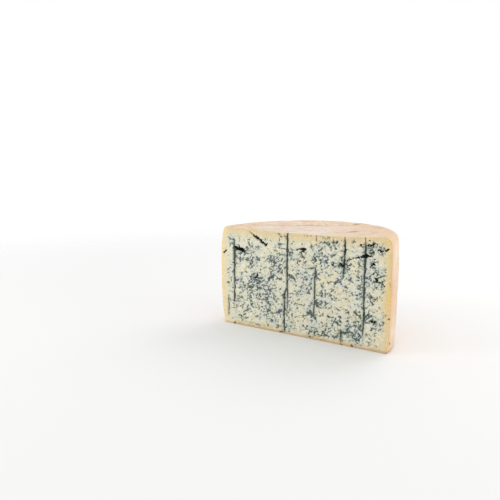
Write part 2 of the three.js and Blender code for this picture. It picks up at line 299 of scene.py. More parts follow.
# Solid patches of mould, level with the paste.
BLOTS = [
    [(-121, 127, 1.8), (-119, 120, 2.8), (-118, 112, 2)], [(-100, 121, 1.6), (-96, 123.5, 1.4)],
    [(-100, 120, 1.2), (-100.5, 116.5, 1.5)], [(-91, 82.5, 1.4), (-80, 81.5, 2), (-66, 82.5, 2)],
    [(-90, 66, 2.6), (-83, 70, 2.2)], [(-78, 77, 2), (-68, 76, 1.8)],
    [(-17, 92.5, 2.4), (-12, 90.5, 2), (-7, 87.5, 2.2)], [(-53, 84.5, 2), (-46, 86.5, 2.6)],
    [(-38, 86.5, 1), (-34, 84.5, 1.8), (-30, 85.5, 1.2)], [(-47, 112, 2.4), (-43, 109.5, 2.2)],
    [(-54, 113, 1.6), (-51, 112, 1.4)], [(-56, 60, 1.2), (-53.5, 56, 1.7), (-52, 54, 1.1)],
    [(-36, 96.5, 1.1), (-31, 99, 1.5)], [(-38, 103, 0.8), (-33, 107, 1.1)],
    [(-13, 122, 2.4), (-12.5, 117, 1.8)], [(-27, 60, 1.9), (-24, 65, 2)],
    [(-28, 58, 1.4), (-23.5, 57, 2)], [(-23.5, 50, 0.9), (-23.5, 40, 1.5), (-24, 34, 0.6)],
    [(-31, 36, 2), (-36, 30, 1.6)], [(29, 57, 2.4), (35, 55.5, 2.6)], [(30, 52, 1.6), (33, 51, 1.4)],
    [(19, 38.5, 1.8), (25, 36.5, 3), (27, 34.5, 2.4)], [(29, 103, 1.6), (30.5, 92, 1.4)],
    [(22, 121.5, 1.2), (23.5, 120, 1.8)], [(72, 18, 1.6), (80, 19.5, 2), (87, 21.5, 1.4)],
    [(104.6, 47, 2.4), (106.5, 41, 2.2)], [(99, 61, 1.1), (103, 59, 1.5)],
    [(106, 61, 1.3), (110, 60, 0.9)], [(103, 83, 2), (107, 82, 1.4)],
    [(109, 81, 0.8), (113.5, 73, 1), (117, 67, 1.6)], [(119.5, 74, 0.9), (122.5, 76.5, 1.1)],
    [(78, 29, 1.3), (88, 30, 1), (95, 33.5, 0.8)], [(-133.5, 67, 2), (-131, 68, 1.6)],
    [(-134, 40, 0.9), (-129, 40, 1)], [(-77, 49, 0.7), (-66, 47.5, 0.9), (-59, 48, 1.2), (-55, 42.5, 1)],
    [(-91, 132, 1.4), (-86, 131.5, 1.6)], [(-78, 130.5, 1.4), (-74, 131.5, 1)],
    [(72.4, 101, 1.6), (69.5, 97.5, 1.3)], [(68, 95.5, 1.5), (64, 92.8, 1.3)],
    [(62.5, 91.8, 1.7), (60, 89.6, 2)], [(57, 91, 1.2), (53.5, 90.3, 1.3)],
    [(51.5, 88.6, 0.9), (47.5, 90, 1.2)], [(66, 118.5, 1.4), (71, 115.5, 2.4), (75, 112, 1.6)],
    [(-133, 141.5, 0.7), (-127, 140.5, 1), (-122, 139.5, 1.8)], [(-129, 134.5, 1), (-125.5, 135.5, 0.8)],
    [(-36, 137, 1), (-27, 139, 1.2)], [(-15, 135, 1.2), (-12.5, 131, 1)],
    [(22, 119, 1.6), (25, 122, 1.4), (31, 126, 0.8)], [(-88, 51, 1.6), (-89.5, 48.5, 1.3)],
    [(-86, 57, 1.4), (-83.5, 59.5, 0.9)], [(-88, 43, 1.2), (-85.5, 42, 1.6)],
    [(-112, 46.5, 1.4), (-104, 46, 1.8)], [(-90, 7, 0.5), (-82, 8, 0.5), (-71, 5, 1.2)],
    [(-92, 15, 0.7), (-94, 13.5, 1.2), (-99, 14.5, 0.8)],
    [(-101, 22, 0.6), (-95, 26, 2), (-90, 29.5, 1.4)], [(10.5, 51, 1.6), (12, 50, 1)],
    [(-17, 52, 1.4), (-14, 52.5, 0.8)], [(-12, 32, 1), (-10, 29.5, 1.8)], [(-8, 132, 0.6), (-2, 133, 1)],
    [(84.5, 149.5, 0.9), (88, 153, 1.2)], [(-33, 151, 0.9), (-30.5, 149, 1.1)],
]
FAR = 30.0
# How far the edges of calm and of torn strokes stray, and the share of quick waver in it.
CALM_EDGE, TORN_EDGE = (0.9, 0.6), (2.2, 0.9)
SLOW_WAVER, QUICK_WAVER = 0.22, 0.7
SEED_SHIFT = Vector((3.1, 7.7, 1.3))
# A track is a groove this deep, cut to its full depth where it is this far inside its edge.
TRACK_DEPTH, TRACK_SLOPE, TRACK_ROUND = 1.5, 1.3, 0.7
noise.seed_set(5)


def ragged_places(amount, quick_share):
    """The places on the cut, each pushed aside a little, so that edges drawn on them turn out ragged."""
    shifted = np.zeros((len(place), 2))
    for i in np.nonzero(on_cut)[0]:
        spot = Vector((across[i], 0.0, up[i]))
        slow = noise.noise_vector(spot * SLOW_WAVER + SEED_SHIFT)
        quick = noise.noise_vector(spot * QUICK_WAVER + SEED_SHIFT)
        push = (slow + quick_share * quick) * amount
        shifted[i] = (across[i] + push.x, up[i] + push.z)
    return shifted.T


def distance_inside(route, x, z):
    """How far each place lies inside a stroke's edge, negative outside."""
    deepest = np.full(x.shape, -FAR)
    for (x0, z0, wide0), (x1, z1, wide1) in zip(route, route[1:]):
        along_x, along_z = x1 - x0, z1 - z0
        share = ((x - x0) * along_x + (z - z0) * along_z) / (along_x**2 + along_z**2)
        share = np.clip(share, 0, 1)
        gap = np.hypot(x - x0 - share * along_x, z - z0 - share * along_z)
        deepest = np.maximum(deepest, wide0 + (wide1 - wide0) * share - gap)
    return deepest


def inside(route, x, z):
    return np.where(on_cut, distance_inside(route, x, z), -FAR)


calm_x, calm_z = ragged_places(*CALM_EDGE)
torn_x, torn_z = ragged_places(*TORN_EDGE)
track_inside = np.max([inside(route, calm_x, calm_z) for route in NEEDLE_TRACKS], 0)
blot_inside = np.max([inside(route, torn_x, torn_z) for route in BLOTS], 0)
rust_inside = np.max([inside(route, calm_x, calm_z) for route in RUST_MARKS], 0)
crack_inside = np.full(len(place), -FAR)
opening_depth = TRACK_DEPTH * np.clip(track_inside / TRACK_SLOPE, 0, 1) ** TRACK_ROUND
for route, depth in CRACKS:
    within = inside(route, torn_x, torn_z)
    widest = max(wide for _, _, wide in route)
    sides = (1 - np.clip(within / widest, 0, 1)) ** 2
    crack_inside = np.maximum(crack_inside, within)
    opening_depth = np.maximum(opening_depth, depth * (1 - sides))

# ------------ where the mould grows
# Mould is thick in some parts of the paste and thin in others, and keeps clear of the rind.
# Each patch is its place on the cut, its reach, and how much mould it adds or, if negative, takes.

MOULD_PATCHES = [
    (-83, 112, 12, 0.5), (-108, 117, 11, 0.45), (-46, 111, 11, 0.45), (-38, 102, 12, 0.75),
    (-14, 126, 10, 0.35), (-12, 91, 8, 0.4), (-49, 86, 12, 0.35), (-73, 79, 15, 0.7), (-85, 68, 12, 0.6),
    (-106, 69, 8, 0.8), (-62, 63, 14, 0.45), (-54, 56, 11, 1.2), (-108, 44, 9, 0.25), (-56, 36, 11, 0.3),
    (-60, 26, 9, 0.45), (-86, 30, 10, 0.15), (-28, 42, 11, 0.35), (-38, 26, 8, 0.2), (-15, 9, 8, 0.95),
    (12, 100, 9, 0.15), (28, 135, 7, 0.4), (26, 121, 12, 0.35), (43, 128, 12, 0.3), (48, 152, 10, 1.15),
    (70, 115, 12, 0.5), (69, 95, 8, 0.6), (14, 97, 13, 0.45), (9, 70, 12, 0.66), (50, 65, 11, 0.75),
    (34, 55, 10, 0.4), (22, 38, 10, 0.4), (30, 15, 13, 0.84), (50, 14, 10, 0.35), (64, 7, 8, 0.5),
    (63, 33, 11, 0.25), (79, 15, 11, 0.78), (98, 9, 11, 1), (92, 27, 10, 0.7), (96, 92, 9, 0.48),
    (97, 74, 7, 0.4), (109, 45, 10, 0.35), (118, 41, 9, 0.45), (131, 39, 7, 0.5), (113, 67, 7, 0.2),
    (115, 101, 9, 0.55), (116, 116, 9, 0.55), (117, 146, 12, 0.48), (100, 129, 8, 0.48),
    (130, 112, 8, 0.92), (125, 95, 10, 0.3), (-131, 143, 8, 0.45), (-97, 147, 14, -0.3),
    (-89, 144, 8, -0.2), (-47, 149, 17, -0.35), (-62, 125, 9, -0.25), (-59, 116, 7, -0.3),
    (-58, 97, 9, -0.4), (-104, 92, 14, -0.4), (-72, 101, 9, -0.25), (-108, 57, 8, -0.25),
    (-122, 33, 9, -0.35), (-76, 37, 9, -0.25), (-77, 21, 9, -0.6), (-46, 39, 7, -0.2),
    (-25, 88, 7, -0.75), (-34, 71, 8, -0.1), (-22, 54, 7, -0.2), (-2, 150, 17, -0.3), (-12, 103, 8, -0.6),
    (2, 108, 10, -0.15), (-8, 76, 10, -0.2), (10, 59, 10, -0.2), (20, 113, 8, -0.45), (35, 87, 9, -0.35),
    (39, 41, 9, -0.35), (5, 32, 11, -0.25), (44, 93, 9, -0.2), (62, 82, 14, -0.25), (62, 51, 11, -0.35),
    (80, 60, 13, -0.2), (86, 120, 9, -0.4), (88, 143, 12, -0.25), (130, 126, 11, -0.35),
    (128, 77, 9, -0.3), (130, 60, 12, -0.25), (120, 15, 18, -0.35), (-123, 88, 6, 0.42),
    (-127, 6, 10, -0.3), (-72, 8, 28, -0.1), (96, 63, 8, 0.42), (-33, 113, 7, 0.25), (64, 150, 6, 0.68),
    (-110, 104, 7, 0.4), (-87, 48, 7, 0.35), (-109, 38, 8, 0.3), (109, 152, 6, 0.62), (134, 48, 6, 0.45),
    (-90, 130, 7, 0.3), (-34, 36, 8, 0.2), (23, 75, 8, -0.42), (46, 24, 7, -0.3), (66, 19, 6, -0.42),
    (-105, 9, 8, -0.25), (-53, 92, 7, -0.25), (-115, 49, 6, -0.38), (-97, 35, 7, -0.38),
    (51, 45, 7, -0.2), (6, 13, 8, -0.2), (-40, 9, 7, -0.2), (130, 144, 7, 0.35), (-107, 68, 7, 0.7),
    (-38, 100, 7, 0.75), (-71, 79, 7, 0.22), (33, 41, 6, -0.25), (47, 141, 7, -0.38), (-51, 71, 6, -0.22),
    (-29, 130, 6, -0.22), (-49, 116, 6, -0.25), (76, 72, 6, -0.2), (118, 77, 6, -0.25),
    (110, 115, 7, 0.22), (119, 98, 6, 0.25), (64, 88, 7, 0.25), (82, 107, 7, 0.25), (1, 111, 7, 0.25),
    (-57, 18, 7, 0.22), (-37, 70, 7, 0.15), (-10, 40, 6, 0.38), (109, 51, 6, -0.22), (67, 109, 6, 0.25),
    (101, 68, 7, 0.3), (-14, 118, 6, 0.25), (-30, 115, 6, 0.22), (-65, 28, 6, 0.2), (23, 87, 6, 0.18),
    (0, 25, 6, 0.18), (-1, 78, 6, -0.22), (-37, 55, 6, -0.2), (-47, 36, 6, -0.2), (-20, 53, 5, -0.25),
    (69, 122, 5, -0.25), (93, 119, 6, -0.18), (67, 51, 6, -0.18), (100, 22, 7, 0.35), (-86, 88, 6, 0.35),
    (-67, 75, 6, 0.2), (-131, 143, 5, 0.3), (102, 76, 5, 0.2), (110, 138, 5, -0.22), (-105, 53, 5, -0.35),
    (-120, 128, 5, -0.25), (61, 98, 5, -0.18), (43, 22, 6, -0.22), (-50, 70, 5, -0.32),
    (51, 51, 5, -0.18), (-133, 85, 5, -0.22), (0, 54, 5, -0.18), (-37, 25, 5, 0.18), (99, 3, 6, 0.25),
    (100, 33, 5, -0.25), (61, 111, 5, 0.22), (46, 153, 6, 0.3), (81, 36, 5, 0.22), (77, 13, 5, 0.18),
    (132, 73, 5, -0.35), (135, 53, 5, 0.8), (135, 93, 5, 0.35), (-135, 46, 5, -0.3), (4, 96, 6, 0.25),
    (-40, 99, 5, 0.25), (-66, 75, 5, 0.25), (-20, 151, 6, -0.4), (-25, 90, 6, -0.3), (-68, 92, 5, -0.25),
    (128, 101, 5, -0.3), (131, 113, 5, 0.3), (63, 99, 5, -0.25), (21, 146, 6, -0.35), (45, 81, 5, 0.3),
    (109, 80, 5, 0.3), (-38, 70, 5, 0.25), (67, 14, 5, -0.2), (-101, 89, 5, -0.2), (-121, 111, 5, -0.2),
    (13, 90, 6, -0.25), (48, 121, 5, -0.2), (33, 126, 5, -0.2), (-94, 58, 5, -0.18), (-84, 32, 5, 0.18),
]
# Widths of the bare margins along the left, right and top of the cut and along its foot.
BARE_LEFT, BARE_RIGHT, BARE_TOP, BARE_FOOT = 12.5, 9.0, 10.0, 6.0
MARGIN_PULL = 1.3

cut_radius, cut_height = side_section([0.0, np.pi])
from_right = np.interp(up, cut_height[0], cut_radius[0]) - across
from_left = np.interp(up, cut_height[1], cut_radius[1]) + across
top_line = top_grid[:, 0]
from_top = np.interp(across, top_line[:, 0], top_line[:, 2]) - up
from_edge = np.minimum(np.minimum(from_left, from_right), np.minimum(from_top, up))

mould = np.zeros(len(place))
for x, z, reach, amount in MOULD_PATCHES:
    mould += amount * np.exp(-(((across - x) / reach) ** 2 + ((up - z) / reach) ** 2))
for gap, margin in ((from_left, BARE_LEFT), (from_right, BARE_RIGHT), (from_top, BARE_TOP), (up, BARE_FOOT)):
    mould -= np.clip(MARGIN_PULL - gap / margin, 0, 1)

# The paste just under the rind is yellower, in a broad amber band at the right, a peachy one at the
# left and a duller one at the top. Towards the foot a band of painted shade browns it, but for the
# left corner, and it is darkest along the foot itself. The right band is weak low down and glows half way
# up.
LEFT_BAND, RIGHT_BAND, TOP_BAND = 9.0, 10.0, 11.0
LEFT_STRENGTH, TOP_STRENGTH = 0.85, 0.9
FOOT_BAND, FOOT_LINE = 8.0, 3.0
CLEAN_CORNER, CLEAN_STRENGTH = 14.0, 0.7
WEAK_UP, WEAK_REACH, WEAKENED = 22.0, 16.0, 0.3
GLOW_UP, GLOW_REACH, GLOW_BAND = 72.0, 17.0, 9.0


def fading(distance, reach):
    return np.exp(-((distance / reach) ** 2))


right_band = fading(from_right, RIGHT_BAND) * (1 - WEAKENED * fading(up - WEAK_UP, WEAK_REACH))
side_yellow = np.maximum(LEFT_STRENGTH * fading(from_left, LEFT_BAND), right_band)
top_yellow = TOP_STRENGTH * fading(from_top, TOP_BAND)
foot_shade = fading(up, FOOT_BAND) * (1 - CLEAN_STRENGTH * fading(from_left, CLEAN_CORNER))
foot_line = fading(up, FOOT_LINE)
amber_glow = fading(from_right, GLOW_BAND) * fading(up - GLOW_UP, GLOW_REACH)

# On the rind, the rim is tanner than the top, and the end beside the cut is paler than the back,
# partly with painted light, with one dark dot low down.
RIM_BAND = 17.0
PALE_REACH = 70.0
DOT_BEHIND, DOT_UP, DOT_SIZE = 7.0, 13.5, 2.7
BLOOM_START, BLOOM_FADE = 0.2, 0.6
TOP_ROUNDING = 12

round_angle = np.arctan2(np.maximum(behind, 0), across)
rim_here, top_edge = rim_height(round_angle), side_section(round_angle)[0][:, -1]
out_here = np.hypot(across, behind)
from_rim = np.maximum(top_edge - out_here, 0) + np.maximum(rim_here - up, 0)
rim_band = fading(from_rim, RIM_BAND)
round_the_rind = round_angle * RIGHT_END["belly"]
dark_dot = DOT_SIZE - np.hypot(round_the_rind - DOT_BEHIND, up - DOT_UP)
pale_lit_end = fading(round_the_rind, PALE_REACH)
top_share = np.clip((out_here / top_edge - BLOOM_START) / BLOOM_FADE, 0, 1)
on_top = up > rim_here - TOP_ROUNDING

# Folds of the cloth that the wheel was wrapped in have pressed creases across its top. Each is a
# route of (across, behind, half its width) points.
TOP_CREASES = [
    [(-118, 38, 0), (-95, 46, 1), (-81, 52, 1.2), (-66, 64, 0.6)],
    [(-66, 64, 0.6), (-51, 77, 2.2), (-42, 82, 1.6), (-31, 86, 2.6)],
    [(-31, 86, 2.6), (-16, 92, 1.4), (-4, 95, 0.5), (10, 97, 1)],
    [(10, 97, 1), (23, 101, 1.6), (33, 106, 2.2), (39, 111, 3.8)],
    [(39, 111, 3.8), (47, 118, 0.4)],
    [(30, 37, 0), (46, 42, 1.2), (58, 47, 2), (64, 50, 4.4), (70, 52, 1.2), (84, 62, 0)],
    [(-127, 25, 0.2), (-110, 18, 1), (-96, 15, 0.4)],
    [(-6, 3, 0.3), (13, 7, 0.6), (34, 17, 0.6), (60, 28, 0.2)],
    [(84, 12, 0.2), (97, 36, 0.8), (100, 52, 0.2)],
    [(-72, 8, 0.1), (-50, 22, 0.5), (-22, 30, 0.5), (6, 46, 0.1)],
    [(-60, 112, 0.1), (-40, 117, 0.6), (-12, 131, 0.2)],
]

crease_inside = np.max([distance_inside(route, across, behind) for route in TOP_CREASES], 0)
crease_inside = np.where(on_top & ~on_cut, crease_inside, -FAR)

kept = dict(
    place=place, mould=np.where(on_cut, mould, 0), from_edge=from_edge * on_cut,
    track_inside=track_inside, blot_inside=blot_inside, rust_inside=rust_inside,
    crack_inside=crack_inside, opening_depth=opening_depth, side_yellow=side_yellow,
    top_yellow=top_yellow, foot_shade=foot_shade, foot_line=foot_line, amber_glow=amber_glow,
    rim_band=rim_band, pale_lit_end=pale_lit_end, dark_dot=np.where(on_cut, -FAR, dark_dot),
    crease_inside=crease_inside, top_bloom=np.where(on_top, 1 - top_share, 0),
    on_cut=on_cut.astype(float),
)
for name, values in kept.items():
    kind, field = ("FLOAT", "value") if values.ndim == 1 else ("FLOAT_VECTOR", "vector")
    layer = cheese_mesh.attributes.new(name, kind, "POINT")
    layer.data.foreach_set(field, values.astype(np.float32).ravel())

# ------------ veins between the curds
# Mould lines the seams between the curds, in short broken strokes where there is little of it and
# in a close net where there is much. The same nodes colour the paste and sink the veins into it.

# Each net is the size of its curds, how long its strokes run, half its strokes' greatest width, how
# its curds lean and how flat they lie.
SEAM_NETS = [
    (7.5, 4.2, 1.5, math.radians(35), 1.5),
    (5.0, 3.2, 1.15, math.radians(-15), 1.35),
]
BARE_LEVEL = 0.48
FULL_LEVEL = 0.70
NO_STROKE = -0.8
MOULD_WEIGHT = 0.32
MOST_GROWTH = 0.15
PATCH_SIZE, PATCHINESS = 14.0, 0.42
BEND_SIZE, BEND_REACH = 9.0, 4.0
CRUMBLE_SIZE, CRUMBLE_REACH = 1.3, 1.0
STROKE_RAGGEDNESS = 0.8
BEAD_SIZE, BEAD_REACH = 4.0, 1.5
# Clean crumbs of curd break the veins up into leaning dabs, and the blots less.
CRUMB_SIZE, CRUMB_REACH, CRUMB_SHARE = 3.4, 5.0, 0.3
CRUMB_LEAN, CRUMB_FLAT = 0.7, 1.5
BLOT_CLOSENESS = 0.9
# How many curds the pattern of each net is shifted by, so that the two aren't alike.
NET_SHIFT = (5, 3, 7)
# What the veins need from the mesh, and where veins, haze and cores begin and are full, inward from
# a stroke's edge.
VEIN_FEEDS = {"Mould": "mould", "Blot": "blot_inside", "Track": "track_inside"}
VEIN_EDGES = {"Veins": (-0.3, 0.4), "Haze": (-2.4, 0.4), "Core": (0.2, 1.5)}
# A noise vector lies about this one.
MIDDLE = (0.5, 0.5, 0.5)


class Bench:
    """Places nodes in a tree and joins them, for shader and geometry trees alike."""

    def __init__(self, tree):
        self.tree = tree

    def node(self, kind, inputs=(), **settings):
        made = self.tree.nodes.new(kind)
        for name, value in settings.items():
            setattr(made, name, value)
        for key, value in dict(inputs).items():
            socket = made.inputs[key]
            if isinstance(value, bpy.types.NodeSocket):
                self.tree.links.new(value, socket)
            elif value is not None:
                socket.default_value = value
        return made

    def math(self, operation, a, b=0.0, clamp=False):
        return self.node("ShaderNodeMath", {0: a, 1: b}, operation=operation, use_clamp=clamp).outputs[0]

    def plus(self, a, b):
        return self.math("ADD", a, b)

    def minus(self, a, b):
        return self.math("SUBTRACT", a, b)

    def times(self, a, b):
        return self.math("MULTIPLY", a, b)

    def vector_math(self, operation, a, b):
        return self.node("ShaderNodeVectorMath", {0: a, 1: b}, operation=operation).outputs[0]

    def moved(self, vector, by):
        return self.vector_math("ADD", vector, by)

    def scaled(self, vector, factor):
        return self.node("ShaderNodeVectorMath", {0: vector, "Scale": factor}, operation="SCALE").outputs[0]

    def ramp(self, value, low, high, to_low=0.0, to_high=1.0, smooth=True):
        kind = "SMOOTHSTEP" if smooth else "LINEAR"
        inputs = {"Value": value, "From Min": low, "From Max": high, "To Min": to_low, "To Max": to_high}
        return self.node("ShaderNodeMapRange", inputs, interpolation_type=kind).outputs[0]

    def noise(self, vector, size, detail=2.0, rough=0.5, output=0):
        inputs = {"Vector": vector, "Scale": 1 / size, "Detail": detail, "Roughness": rough}
        return self.node("ShaderNodeTexNoise", inputs).outputs[output]

    def swing(self, vector, size, reach, detail=2.0, rough=0.5):
        """Noise about zero, with a reach either way."""
        centred = self.minus(self.noise(vector, size, detail, rough), 0.5)
        return self.times(centred, 2 * reach)

    def wander(self, vector, size, reach, detail=2.0):
        """The place pushed aside by noise."""
        bend = self.noise(vector, size, detail, 0.5, output=1)
        bend = self.vector_math("SUBTRACT", bend, MIDDLE)
        return self.moved(vector, self.scaled(bend, 2 * reach))

    def leaning(self, vector, lean, flat):
        """The place turned and squeezed, so that a pattern drawn on it leans and lies flat on the cut."""
        inputs = {"Vector": vector, "Angle": lean}
        turned = self.node("ShaderNodeVectorRotate", inputs, rotation_type="Y_AXIS").outputs[0]
        return self.vector_math("MULTIPLY", turned, (1 / flat, 1.0, 1.0))

    def seams(self, vector, size):
        """Distance from the nearest seam between cells of a size, in the same units."""
        inputs = {"Vector": vector, "Scale": 1 / size}
        edge = self.node("ShaderNodeTexVoronoi", inputs, feature="DISTANCE_TO_EDGE")
        return self.times(edge.outputs["Distance"], size)

    def mix(self, share, a, b):
        return self.node("ShaderNodeMix", {0: share, 6: a, 7: b}, data_type="RGBA").outputs[2]

    def tinted(self, colour, tint, share, strength):
        """A colour with a tint laid over it, where the share says and no stronger than the strength."""
        return self.mix(self.times(share, strength), colour, tint)


def new_group(kind, name, inputs, outputs):
    """A group of nodes. Place is a vector, Geometry a mesh, and every other socket a number."""
    tree = bpy.data.node_groups.new(name, kind)
    socket_types = {"Place": "NodeSocketVector", "Geometry": "NodeSocketGeometry"}
    for way, sockets in (("INPUT", inputs), ("OUTPUT", outputs)):
        for socket in sockets:
            socket_type = socket_types.get(socket, "NodeSocketFloat")
            tree.interface.new_socket(socket, in_out=way, socket_type=socket_type)
    return tree, tree.nodes.new("NodeGroupInput"), tree.nodes.new("NodeGroupOutput")


def vein_group(kind):
    """Veins, the haze of thin mould round them, and their dark cores.

    It takes a place in millimetres, the amount of mould there, and how far the place lies inside a
    blot and inside a needle track.
    """
    tree, given, result = new_group(kind, "mould veins", ("Place", *VEIN_FEEDS), VEIN_EDGES)
    b = Bench(tree)
    spot = b.wander(given.outputs["Place"], BEND_SIZE, BEND_REACH)
    crumble = b.swing(spot, CRUMBLE_SIZE, CRUMBLE_REACH, 2.0, 0.6)
    grown = b.math("MINIMUM", b.times(given.outputs["Mould"], MOULD_WEIGHT), MOST_GROWTH)
    region = b.plus(b.swing(spot, PATCH_SIZE, PATCHINESS, 1.0), grown)
    nets = []
    for size, stroke, widest, lean, flat in SEAM_NETS:
        shifted = b.moved(b.leaning(spot, lean, flat), tuple(size * curds for curds in NET_SHIFT))
        level = b.plus(b.noise(shifted, stroke, 1.0, 0.5), region)
        width = b.ramp(level, BARE_LEVEL, FULL_LEVEL, NO_STROKE, widest, smooth=False)
        nets.append(b.minus(b.plus(width, crumble), b.seams(shifted, size)))
    tilted = b.leaning(spot, CRUMB_LEAN, CRUMB_FLAT)
    crumbs = b.plus(b.swing(tilted, CRUMB_SIZE, CRUMB_REACH, 2.0, 0.55), CRUMB_SHARE)
    ragged = b.times(crumble, STROKE_RAGGEDNESS)
    blot = b.math("MINIMUM", b.plus(given.outputs["Blot"], ragged), b.plus(crumbs, BLOT_CLOSENESS))
    within = b.math("MINIMUM", b.math("MAXIMUM", nets[0], nets[1]), crumbs)
    beads = b.plus(ragged, b.swing(given.outputs["Place"], BEAD_SIZE, BEAD_REACH))
    beaded = b.plus(given.outputs["Track"], beads)
    within = b.math("MAXIMUM", within, b.math("MAXIMUM", blot, beaded))
    for name, edge in VEIN_EDGES.items():
        b.tree.links.new(b.ramp(within, *edge), result.inputs[name])
    return tree


# The veins and openings sink into the cut, and the paste between them is left slightly uneven by
# the wire. The rind has slow dents and a fine dry wrinkle.

VEIN_DEPTH = 0.45
UNEVEN_SIZE, UNEVEN_CUT = 16.0, 0.5
DRAG_SIZE, RAGGED_BORDER = 9.0, 1.1
DENT_SIZE, RIND_DENTS = 22.0, 1.0
WRINKLE_SIZE, RIND_WRINKLES = 5.0, 0.45
PIT_DEPTH = 0.8
CREASE_DEPTH, CREASE_EDGE = 0.5, (-1.5, 0.8)
# Each kind of pit is its spacing, its reach as a share of that, and where its bowl begins and is full.
PIT_KINDS = {"Pits": (9.0, 0.34, 0.2, 0.9), "Specks": (6.0, 0.2, 0.35, 0.8)}
PIT_BEND, PIT_BEND_REACH = 4.0, 1.5
CLUSTER_SIZE, CLUSTER_EDGE, CLUSTER_PULL = 26.0, (0.42, 0.62), 0.45
KEPT_EDGE = (0.95, 1.05)
# Relief on the cut begins this far in from its border and is full there. On the rind it is full this
# far up from the base and back from the cut.
BORDER_START, BORDER_END = 0.5, 5.0
LIFTED, SET_BACK = 5.0, 3.0


def pit_group(kind):
    """Small dimples and the dark specks in them, scattered over the rind in loose clusters."""
    tree, given, result = new_group(kind, "rind pits", ("Place",), PIT_KINDS)
    b = Bench(tree)
    spot = b.wander(given.outputs["Place"], PIT_BEND, PIT_BEND_REACH)
    cluster = b.ramp(b.noise(spot, CLUSTER_SIZE), *CLUSTER_EDGE)
    for name, (size, reach, low, high) in PIT_KINDS.items():
        cells = b.node("ShaderNodeTexVoronoi", {"Vector": spot, "Scale": 1 / size}, feature="F1")
        lot = b.node("ShaderNodeSeparateXYZ", {0: cells.outputs["Color"]}).outputs[0]
        kept = b.ramp(b.plus(lot, b.times(cluster, CLUSTER_PULL)), *KEPT_EDGE)
        bowl = b.ramp(cells.outputs["Distance"], reach, 0.0)
        b.tree.links.new(b.times(b.ramp(bowl, low, high), kept), result.inputs[name])
    return tree


relief, given, result = new_group("GeometryNodeTree", "cheese relief", ("Geometry",), ("Geometry",))
b = Bench(relief)


def stored(name, kind="FLOAT"):
    return b.node("GeometryNodeInputNamedAttribute", {"Name": name}, data_type=kind).outputs[0]


spot = stored("place", "FLOAT_VECTOR")
spot_parts = b.node("ShaderNodeSeparateXYZ", {0: spot}).outputs
feeds = {"Place": spot, **{socket: stored(name) for socket, name in VEIN_FEEDS.items()}}
veins = b.node("GeometryNodeGroup", feeds, node_tree=vein_group("GeometryNodeTree"))
inland = b.ramp(stored("from_edge"), BORDER_START, BORDER_END)
sunk = b.times(veins.outputs["Veins"], VEIN_DEPTH)
sunk = b.plus(sunk, b.times(b.swing(spot, UNEVEN_SIZE, UNEVEN_CUT, 3.0, 0.55), inland))
sunk = b.plus(sunk, stored("opening_depth"))
cut_push = b.node("ShaderNodeCombineXYZ", {1: sunk}).outputs[0]

off_base = b.ramp(spot_parts[2], 0.0, LIFTED)
pits = b.node("GeometryNodeGroup", {0: spot}, node_tree=pit_group("GeometryNodeTree"))
wrinkles = b.swing(spot, WRINKLE_SIZE, RIND_WRINKLES, 3.0, 0.6)
swell = b.plus(b.swing(spot, DENT_SIZE, RIND_DENTS), wrinkles)
swell = b.minus(swell, b.times(pits.outputs["Pits"], PIT_DEPTH))
swell = b.minus(swell, b.times(b.ramp(stored("crease_inside"), *CREASE_EDGE), CREASE_DEPTH))
swell = b.times(b.times(swell, off_base), b.ramp(spot_parts[1], 0.0, SET_BACK))
rind_push = b.scaled(b.node("GeometryNodeInputNormal").outputs[0], swell)
pushes = {0: stored("on_cut"), 4: rind_push, 5: cut_push}
push = b.node("ShaderNodeMix", pushes, data_type="VECTOR").outputs[1]

# Where cut and rind meet, the border wavers, because the wire drags the soft paste.
near_border = b.times(b.minus(1.0, inland), b.ramp(spot_parts[1], BORDER_END, 0.0))
drag = b.vector_math("SUBTRACT", b.noise(spot, DRAG_SIZE, 4.0, 0.65, output=1), MIDDLE)
drag = b.scaled(drag, b.times(near_border, 2 * RAGGED_BORDER))
drag = b.vector_math("MULTIPLY", drag, (1.0, 0.0, 1.0))
push = b.moved(push, b.scaled(drag, off_base))
dented = b.node("GeometryNodeSetPosition", {"Geometry": given.outputs[0], "Offset": b.scaled(push, MM)})
relief.links.new(dented.outputs[0], result.inputs[0])

# The box that the cheese keeps to is the CAD model's, so the axis and the cut are found from it.
low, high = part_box("half_wheel")
form_middle = (side_grid[..., 0].max() + side_grid[..., 0].min()) / 2 * MM
to_frame = Matrix.Translation(((low.x + high.x) / 2 - form_middle, low.y, low.z)) @ Matrix.Scale(MM, 4)
cheese_mesh.transform(to_frame)
paste, rind = (bpy.data.materials.new(name) for name in ("blue_veined_paste", "brined_rind"))
cheese_mesh.materials.append(paste)
cheese_mesh.materials.append(rind)
cheese = bpy.data.objects.new("half_wheel_of_blue_cheese", cheese_mesh)
put_in_scene = bpy.context.scene.collection.objects.link
put_in_scene(cheese)
sinking = cheese.modifiers.new("relief", "NODES")
sinking.node_group = relief
solved = cheese.evaluated_get(bpy.context.evaluated_depsgraph_get())
cheese.data = bpy.data.meshes.new_from_object(solved)
cheese.data.name = "half_wheel_of_blue_cheese_relief"
cheese.modifiers.clear()

# ------------ the paste
# Soft, moist, slightly translucent cream paste, greyer where thin mould clouds it. Veins are slate
# green-blue, the tracks darker, and cracks nearly black with dark mould and painted shade.


def paint(red, green, blue):
    """Colour of a surface from its 0 to 255 screen values."""
    linear = [((c / 255 + 0.055) / 1.055) ** 2.4 if c > 10 else c / 255 / 12.92 for c in (red, green, blue)]
    return (*linear, 1.0)


def bench_for(owner):
    owner.use_nodes = True
    owner.node_tree.nodes.clear()
    return Bench(owner.node_tree)


def attribute(b, name, output="Fac"):
    return b.node("ShaderNodeAttribute", attribute_name=name).outputs[output]


